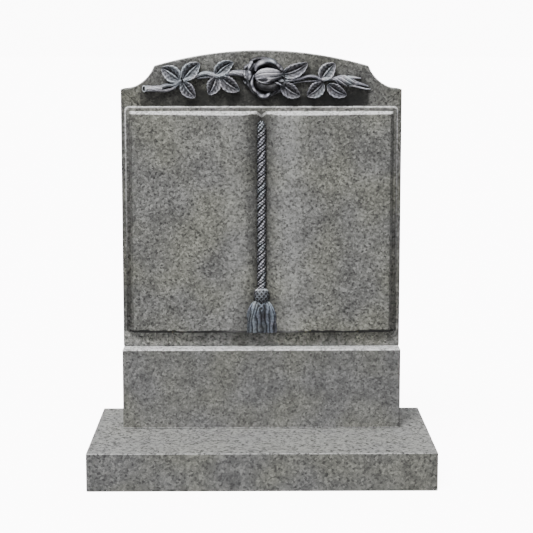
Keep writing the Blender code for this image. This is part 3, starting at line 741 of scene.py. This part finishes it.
# Name, points x and z, half breadth at both ends, crest at both ends, tone: how bright it is painted
STEMS = (
    ("stem_cut", ((-318, -26), (-298, -26), (-271, -26)), (8.5, 8.5), (21, 20), 1.05),
    ("stem_fork_upper", ((-280, -24), (-258, -17), (-238, -15), (-219, -3)), (6, 4.5), (20, 18), 0.82),
    ("stem_fork_lower", ((-280, -30), (-260, -31), (-240, -24), (-222, -8)), (5, 4), (18, 16), 0.8),
    (
        "stem_left", ((-214, -4), (-196, 3), (-172, 11), (-152, 16), (-130, 11), (-118, 7)),
        (5, 7.5), (16, 20), 0.93,
    ),
    ("stem_left_thin", ((-176, 2), (-150, 5), (-126, 6)), (3, 3.5), (12, 15), 0.8),
    ("stem_to_rose", ((-118, 7), (-98, 14), (-78, 17), (-60, 16), (-44, 14)), (7, 9), (19, 20), 0.9),
    (
        "stem_right", ((46, -6), (76, -4), (107, 1), (128, 7), (146, 6), (166, -2)),
        (5, 4.5), (17, 18), 0.75,
    ),
    ("stem_right_thin", ((66, -18), (100, -9), (132, -6), (166, -4)), (2.4, 2.4), (11, 14), 0.65),
    ("stem_to_bud", ((166, -2), (190, 2), (214, -2)), (6, 7), (17, 18), 1.0),
    ("sepal_upper", ((236, 5), (252, 4), (264, 3), (273, 2)), (5, 1.2), (18, 9), 1.1),
    ("sepal_middle", ((242, -7), (262, -11), (278, -15), (294, -20)), (8, 1.2), (17, 8), 0.85),
    ("sepal_lower", ((240, -16), (262, -21), (282, -26), (300, -28)), (3.6, 1.2), (15, 7), 1.1),
    ("leaf_stub", ((-222, -8), (-221, -18), (-224, -28)), (4.5, 2), (15, 8), 0.8),
)


def smooth_path(points, steps):
    """A curve through the points, drawn by Catmull and Rom's cubic between each pair of them."""
    points = np.array(points, float)
    points = np.vstack((2 * points[0] - points[1], points, 2 * points[-1] - points[-2]))
    at = np.linspace(0, len(points) - 3 - 1e-9, steps)
    k = at.astype(int)
    t = (at - k)[:, None]
    a, b, c, d = (points[k + i] for i in range(4))
    return b + 0.5 * t * (c - a + t * (2 * a - 5 * b + 4 * c - d + t * (3 * (b - c) + d - a)))


def strip_places(path, offsets):
    """Places across a path: the path's point plus its left normal times each offset."""
    way = np.gradient(path, axis=0)
    way /= np.linalg.norm(way, axis=1, keepdims=True)
    left = np.column_stack((-way[:, 1], way[:, 0]))
    return path[:, None, :] + left[:, None, :] * offsets[..., None]


def in_spray(places):
    """Places in mm of the spray's own drawing, in metres on the face."""
    return SPRAY_MIDDLE + SPRAY_SCALE * places / 1000


def stem(name, points, halves, crests, tone):
    """Half round: the offset is half the breadth times the cosine of the angle across, and the relief
    is half the crest plus half of it times the sine. Fine ridges along it are the cosine of 7 times
    the angle, and it swells a little here and there. Its upper side catches the light."""
    steps = 40
    path = smooth_path(points, steps)
    along = np.linspace(0, 1, steps)[:, None]
    angles = np.linspace(math.pi, 0, 25)[None, :]
    half = halves[0] + (halves[1] - halves[0]) * along
    crest = crests[0] + (crests[1] - crests[0]) * along
    bark = np.cos(7 * angles + 3 * np.sin(5 * along))
    form = 1 + 0.035 * bark + 0.04 * np.sin(9 * along)
    offsets = half * np.cos(angles) * form
    reliefs = (crest * 0.5 + crest * 0.5 * np.sin(angles) * form) / 1000
    # Painted light and shade: pale on the crest and, as a highlight, on the upper side; dark down the
    # flanks, as shade
    tones = 0.34 + 0.38 * np.sin(angles) + 0.12 * bark + 0.16 * np.clip(np.cos(angles - 1.0), 0, 1)
    carved(name, in_spray(strip_places(path, offsets)), reliefs, tones * tone)


for stem_values in STEMS:
    stem(*stem_values)


def mound(name, place, outline, profile):
    """A form raised in rings about a place: outline is the radius at each angle in mm, and profile
    gives (share of the outline, relief in mm, painted tone) from its foot to its middle."""
    angles = np.linspace(0, 2 * math.pi, len(outline), endpoint=False)
    around = np.column_stack((np.cos(angles), np.sin(angles))) * outline[:, None]
    rings = []
    for share, relief, _ in profile:
        rings.append(on_face(in_spray(np.array(place) + around * share), relief / 1000))
    tones = np.array([tone for _, _, tone in profile])[:, None]
    shell(name, rings, carved_granite, tone=tones)


def oval(half_x, half_z):
    """Radius of an ellipse at each angle: a b over the root of (b cos) ** 2 plus (a sin) ** 2."""
    angles = np.linspace(0, 2 * math.pi, 48, endpoint=False)
    return half_x * half_z / np.hypot(half_z * np.cos(angles), half_x * np.sin(angles))


# The cut end of the stem, a ring painted pale as a highlight round a middle painted dark as shade. Share,
# relief in mm, tone
CUT_PROFILE = (
    (1.0, -4, 0.0), (1.0, 13, 0.5), (0.97, 20, 1.0), (0.88, 22, 1.1), (0.76, 22, 0.9), (0.66, 19, 0.05),
    (0.2, 18, 0.0),
)
mound("stem_cut_face", (-320.5, -26), oval(5.5, 9.5), CUT_PROFILE)


# Spray: leaves
# Eleven rose leaflets, each folded along its midrib like a shallow trough, with rolled rims. The lower
# half of each fold faces the sky and is light; the grooves beside the midrib are painted dark, as
# shade, and the rims and midribs pale, as highlights.

# Stalk end x and z, tip x and z, width, bend of the midrib to its left, tilt of its left side, in mm,
# and tone, a painted brightness, lower on the leaflets that hang under the stalk, as painted shade
LEAVES = (
    (-224, -4, -273, 30, 46, -3, -2, 1.05),
    (-213, -1, -169, 43, 45, 3, 2, 1.05),
    (-216, -8, -181, -50, 38, -3, 2, 0.88),
    (-126, 9, -77, 46, 39, 4, 2, 1.03),
    (-123, 5, -144, -42, 40, 3, -2, 0.92),
    (-111, 5, -60, -31, 41, -4, 2, 0.85),
    (56, 13, 126, 44, 40, -6, 3, 0.94),
    (56, -13, 106, -46, 41, -4, 2, 0.80),
    (164, -2, 201, 42, 44, 3, 2, 1.05),
    (168, -10, 125, -46, 42, 4, -2, 0.87),
    (182, -14, 234, -44, 37, -5, 2, 0.86),
)
LEAF_RELIEF = 14.0
LEAF_ARCH = 4.0


def leaf(name, stalk_x, stalk_z, tip_x, tip_z, width, bend, tilt, tone):
    """Across from -1 to 1, a is the distance from the midrib, and the relief is the sum of: an arch
    along the leaf, a fold that climbs from groove to rim, a rib as a narrow bell curve, the rim
    rounded over, a tilt, side veins as waves of the length less the distance, and a wavy rim.

    The width follows a sine of the length to the power 0.85, raised to 0.7, cut into small teeth.
    Rim and rib are painted pale, as highlights. The half that looks down is painted darker, as shade,
    most of all in the groove above the midrib, whose reach to its side wanders along the leaf."""
    steps, points = 72, 49
    u = (1 - np.cos(np.linspace(0, math.pi, steps))) / 2
    stalk, tip = np.array((stalk_x, stalk_z), float), np.array((tip_x, tip_z), float)
    run = tip - stalk
    normal = np.array((-run[1], run[0])) / np.hypot(*run)
    path = stalk + u[:, None] * run + normal * (bend * np.sin(math.pi * u))[:, None]
    v = np.linspace(-1, 1, points)[None, :]
    a = np.abs(v)
    upper = np.clip(v * np.sign(normal[1]) * 8, 0, 1)
    u = u[:, None]
    body = np.sin(math.pi * u**0.85) ** 0.7
    wave = stalk_x * 0.7
    lobes = 0.95 + 0.09 * np.abs(np.sin(5.5 * math.pi * u + wave))
    spread = (0.05 + 0.95 * body) * lobes
    taper = np.clip(body * 1.5, 0.1, 1)
    fold = -5.5 + 9.0 * (np.clip(a - 0.1, 0, 1) / 0.78) ** 0.9
    rib = 5.5 * bell(a, 0.0, 0.09) * (1 - 0.5 * u)
    edge = 2.6 * bell(a, 0.86, 0.09) - 6.0 * climb(a, 0.88, 0.12) ** 2
    veins = np.sin(2 * math.pi * (5.0 * u - 1.3 * a)) * bell(a, 0.5, 0.22)
    wavy = np.sin(11 * math.pi * u + wave) * a**3
    relief = LEAF_RELIEF + LEAF_ARCH * np.sin(math.pi * u)
    relief = relief + taper * (fold + rib + edge + tilt * v + 0.6 * veins + 1.1 * wavy)
    rim = bell(a, 0.86, 0.16) * (0.76 + 0.24 * np.sin(13 * math.pi * u + wave))
    length = np.clip(np.sin(math.pi * u) ** 1.4 * 1.3, 0, 1)
    reach = 0.14 + 0.05 * np.sin(11 * math.pi * u + wave)
    groove = bell(a, 0.21, reach) * (0.26 + 0.52 * upper) * length
    under_rim = bell(a, 0.60, 0.11) * (0.12 + 0.02 * upper)
    tones = 0.51 + 0.02 * upper + 0.52 * rim + 0.55 * length * bell(a, 0.0, 0.09)
    tones = tones - groove - under_rim + 0.12 * veins - 0.3 * climb(a, 0.96, 0.04)
    places = in_spray(strip_places(path, v * spread * width / 2))
    carved(name, places, relief / 1000, tones * tone, undercut=0.15)


for count, leaf_values in enumerate(LEAVES, 1):
    leaf(f"leaf_{count}", *leaf_values)


# Spray: open rose
# The rose is cut deepest of all: a round cup of petals whose rolled lips catch the light and are
# painted pale as highlights, with hollows driven in behind them and painted dark, as shade, and the
# furled heart standing free in the middle.

ROSE_PLACE = (9, -1)
rose_turn = np.linspace(0, 2 * math.pi, 96, endpoint=False)
ROSE_OUTLINE = 50 * (0.94 + 0.06 * np.abs(np.cos(2.5 * rose_turn)))
# Share of the outline, relief in mm, tone, painted dark in the hollow as shade
CUP_PROFILE = (
    (1.0, -4, 0.0), (1.0, 7, 0.15), (0.985, 10, 0.28), (0.95, 13.5, 0.34), (0.90, 15, 0.32),
    (0.82, 14.5, 0.2), (0.76, 12, 0.08), (0.68, 8, 0.04), (0.4, 7, 0.06), (0.1, 7, 0.06),
)
mound("rose_cup", ROSE_PLACE, ROSE_OUTLINE, CUP_PROFILE)

# Name, points x and z along the middle of the lip, half breadth, crest, tone: how bright it is painted,
# low where a petal lies in shade, as the belly under the heart
PETALS = (
    ("petal_back", ((-34, 34), (-30, 44), (-22, 52), (-6, 56), (12, 56), (28, 50)), 5, 18, 0.46),
    (
        "petal_crown", ((-16, 22), (-13, 33), (-3, 42), (10, 47), (24, 49), (37, 43), (44, 36)),
        9.5, 31, 0.82,
    ),
    ("petal_crown_right", ((34, 46), (44, 37), (53, 28), (59, 20)), 7.5, 29, 0.56),
    ("petal_left_broad", ((-34, -10), (-38, 4), (-36, 18), (-27, 32), (-9, 43)), 12, 20, 0.54),
    ("petal_left_outer", ((-47, 25), (-43, 32), (-37, 37), (-32, 39)), 5.5, 22, 0.66),
    ("petal_left_upper", ((-35, 25), (-32, 34), (-27, 44), (-23, 48)), 6.5, 28, 1.04),
    ("petal_left_middle", ((-45, 24), (-47, 15), (-45, 6), (-40, 1)), 5, 26, 1.05),
    ("petal_left_inner", ((-34, -3), (-31, 6), (-31, 16), (-36, 26)), 8, 26, 0.84),
    ("petal_left_lower", ((-50, -4), (-45, -10), (-38, -15), (-34, -24)), 6, 17, 0.40),
    (
        "petal_left_rim", ((-20, 12), (-25, 0), (-27, -12), (-24, -23), (-18, -32), (-11, -38)),
        5.5, 26, 0.92,
    ),
    ("petal_belly", ((-13, -5), (-4, -16), (14, -22), (32, -21), (50, -9)), 14, 29, 0.18),
    ("petal_foot", ((-13, -35), (-7, -43), (3, -48), (13, -48), (20, -42), (25, -35)), 8, 22, 0.74),
    ("petal_right_lower", ((36, -8), (46, -12), (57, -18)), 3.5, 32, 0.80),
    ("petal_right", ((62, 12), (64, -2), (60, -17), (50, -31), (36, -40)), 7, 19, 0.34),
)


def petal(name, points, half, crest, tone):
    """A thick rolled lip along a curve. From its outer edge, on the left of the curve, the relief
    climbs a quarter circle to the crest and drops a steeper one into the hollow behind it.

    The lip swells from both tips as the root of a sine, and waves a little in height on the way. The
    pale roll along its crest is a painted highlight, whose glints are painted as a cosine of 5 half
    turns of its length, and the hollow behind it is painted dark, as shade."""
    steps, across = 56, 27
    share = np.linspace(0, 1, steps)[:, None]
    path = smooth_path(points, steps)
    swell = np.sqrt(np.sin(0.15 + (math.pi - 0.3) * share))
    wave = 1 + 0.05 * np.sin(7 * share + half) + 0.025 * np.sin(19 * share)
    t = np.linspace(1, -1, across)[None, :]
    outer = 0.5 + 0.5 * np.sqrt(np.clip(1 - ((t + 0.1) / 1.1) ** 2, 0, 1))
    inner = 0.3 + 0.7 * np.sqrt(np.clip(1 - ((t + 0.1) / 0.9) ** 2, 0, 1))
    height = np.where(t > -0.1, outer, inner)
    reliefs = crest * (0.55 + 0.45 * swell) * wave * height
    offsets = t * half * swell
    glint = np.cos(5 * math.pi * (share - 0.35))
    tones = 0.54 + (0.48 + 0.30 * glint) * bell(t, 0.15, 0.45) - 0.72 * climb(-t, 0.3, 0.7)
    tones = tone * tones * (0.7 + 0.3 * swell)
    carved(name, in_spray(strip_places(path, offsets)), reliefs / 1000, tones)


for petal_values in PETALS:
    petal(*petal_values)


# Spray: heart of the rose and closed bud
# Both are drops lying on their side, wound about with overlapping petals. The heart shows a hollow at
# its round end, where its outermost petal stands away.

def furled(name, start, end, half, flank, crest, folds, twist, hollow):
    """Across from -1 to 1, the relief is flank plus a half circle, plus folds: a saw wave of the
    place across and the length, each fold rising slowly and dropping sharply to the next.

    The half breadth follows a sine of the length to the power 0.7, raised to 0.7. The hollow is a
    flat-bottomed dip of that depth at 0.27 of the length, below the middle, painted dark as shade, with
    a raised rim painted pale as a highlight. Ridges are painted pale and grooves dark, and the upper
    side lighter, as painted light and shade."""
    steps, points = 80, 61
    u = (1 - np.cos(np.linspace(0.12, math.pi - 0.08, steps)))[:, None] / 2
    v = np.linspace(-1, 1, points)[None, :]
    start, end = np.array(start, float), np.array(end, float)
    path = start + (end - start) * u
    girth = np.sin(math.pi * u**0.7) ** 0.7
    dome = np.sqrt(np.clip(1 - v**2, 0, 1))
    phase = folds * (0.5 + 0.5 * v * (1 - 0.35 * u)) + twist * u
    saw = phase - np.floor(phase)
    ridge = bell(saw, 0.72, 0.16)
    groove = bell(saw, 0.97, 0.10) + bell(saw, -0.03, 0.10)
    relief = flank * (1 + girth) / 2 + (crest - flank) * girth * dome
    relief = relief + girth * dome * (1.7 * ridge - 1.6 * groove)
    pit = np.hypot((u - 0.27) / 0.17, (v + 0.42) / 0.24)
    dip = np.exp(-(pit**4)) if hollow else 0 * pit
    rim = bell(pit, 1.25, 0.28) if hollow else 0 * pit
    relief = relief - hollow * dip * girth + 1.6 * rim * dome
    tones = 0.54 + 0.42 * ridge - 0.36 * groove + 0.10 * dome + 0.30 * np.clip(v, -0.5, 0.5)
    tones = tones * (1 - 0.40 * dip) + 0.60 * rim - 0.12 * climb(np.abs(v), 0.85, 0.15)
    places = in_spray(strip_places(path, v * half * girth))
    carved(name, places, relief / 1000, tones * (0.6 + 0.4 * girth))


furled("rose_heart", (-18, 4), (63, 16), 23, 17, 37, folds=4.0, twist=0.7, hollow=6.0)
furled("closed_bud", (200, 1), (268, -12), 14.5, 10, 24, folds=3.0, twist=2.6, hollow=0.0)


# Floor, lights and camera
# The floor and a round wall far off glow as white as the photo's ground, and throw none of that light
# on the stone. White air and one broad soft lamp, high on the left of the front, light the stone, so
# that level faces are lighter than upright ones and hollows stay dark.

FLOOR_HALF = 150.0
WALL_RADIUS = 100.0
WALL_HEIGHTS = (-0.5, 80.0)
WALL_SIDES = 96
STAGE_GLOW = 10.0
AIR_STRENGTH = 0.62
LAMP_WAY = (-0.27, -0.52, 0.81)
LAMP_STRENGTH = 3.6
LAMP_SPREAD = 24
CAMERA_PLACE = (-0.0243, -3.7483, 1.1618)
CAMERA_DOWN, CAMERA_TURN = 7.017, -0.575
CAMERA_LENS_MM = 94.564
CAMERA_SHIFT = -0.1

floor_corners = [(FLOOR_HALF * x, FLOOR_HALF * y, 0) for x, y in ((-1, -1), (1, -1), (1, 1), (-1, 1))]
floor_mesh = bpy.data.meshes.new("floor")
floor_mesh.from_pydata(floor_corners, [], [(0, 1, 2, 3)])
floor = placed("floor", floor_mesh)
stage_paint, _, stage_shader = new_material("matt white floor")
stage_shader.inputs["Base Color"].default_value = linear("#f6f4f5")
stage_shader.inputs["Roughness"].default_value = 0.9
stage_shader.inputs["Specular IOR Level"].default_value = 0.1
stage_shader.inputs["Emission Color"].default_value = linear("#fffdfe")
stage_shader.inputs["Emission Strength"].default_value = STAGE_GLOW

wall_turn = np.linspace(0, 2 * math.pi, WALL_SIDES, endpoint=False)
wall_ring = WALL_RADIUS * np.column_stack((np.cos(wall_turn), np.sin(wall_turn)))
wall_points = np.vstack([np.column_stack((wall_ring, np.full(WALL_SIDES, z))) for z in WALL_HEIGHTS])
wall_side = np.arange(WALL_SIDES)
wall_next = (wall_side + 1) % WALL_SIDES
wall_faces = np.column_stack((wall_next, wall_side, wall_side + WALL_SIDES, wall_next + WALL_SIDES))
wall_mesh = bpy.data.meshes.new("backdrop")
wall_mesh.from_pydata(wall_points, [], wall_faces.tolist())
wall = placed("backdrop", wall_mesh)
wall.visible_shadow = False
for sheet in (floor, wall):
    sheet.data.materials.append(stage_paint)
    sheet.visible_diffuse = False
    sheet.visible_glossy = False

air = bpy.data.worlds.new("studio air")
bpy.context.scene.world = air
air.use_nodes = True
sky = air.node_tree
sky_way = add(sky, "TexCoord").outputs["Object"]
sky_height = add(sky, "SeparateXYZ", [("Vector", sky_way)]).outputs["Z"]
sky_share = [("Value", sky_height), ("From Min", -0.25), ("From Max", 0.35)]
sky_share = add(sky, "MapRange", sky_share).outputs[0]
sky_stops = ((0.0, "#c0c0c0"), (1.0, "#ffffff"))
sky_colour = add(sky, "ValToRGB", [("Fac", sky_share)], sky_stops).outputs["Color"]
sky.links.new(sky_colour, sky.nodes["Background"].inputs["Color"])
sky.nodes["Background"].inputs["Strength"].default_value = AIR_STRENGTH

# A sun's light is even over the stone, and LAMP_WAY points from the stone to it
lamp_data = bpy.data.lights.new("upper left", "SUN")
lamp_data.energy = LAMP_STRENGTH
lamp_data.angle = math.radians(LAMP_SPREAD)
lamp = placed("upper left", lamp_data)
lamp_x, lamp_y, lamp_z = LAMP_WAY
lamp_tilt = math.atan2(math.hypot(lamp_x, lamp_y), lamp_z)
lamp.rotation_euler = (lamp_tilt, 0.0, math.atan2(lamp_x, -lamp_y))

camera_data = bpy.data.cameras.new("camera")
camera_data.lens = CAMERA_LENS_MM
camera_data.sensor_width = 36.0
camera_data.shift_y = CAMERA_SHIFT
camera = placed("camera", camera_data)
camera.location = CAMERA_PLACE
camera.rotation_euler = (math.radians(90 - CAMERA_DOWN), 0.0, math.radians(CAMERA_TURN))
bpy.context.scene.camera = camera
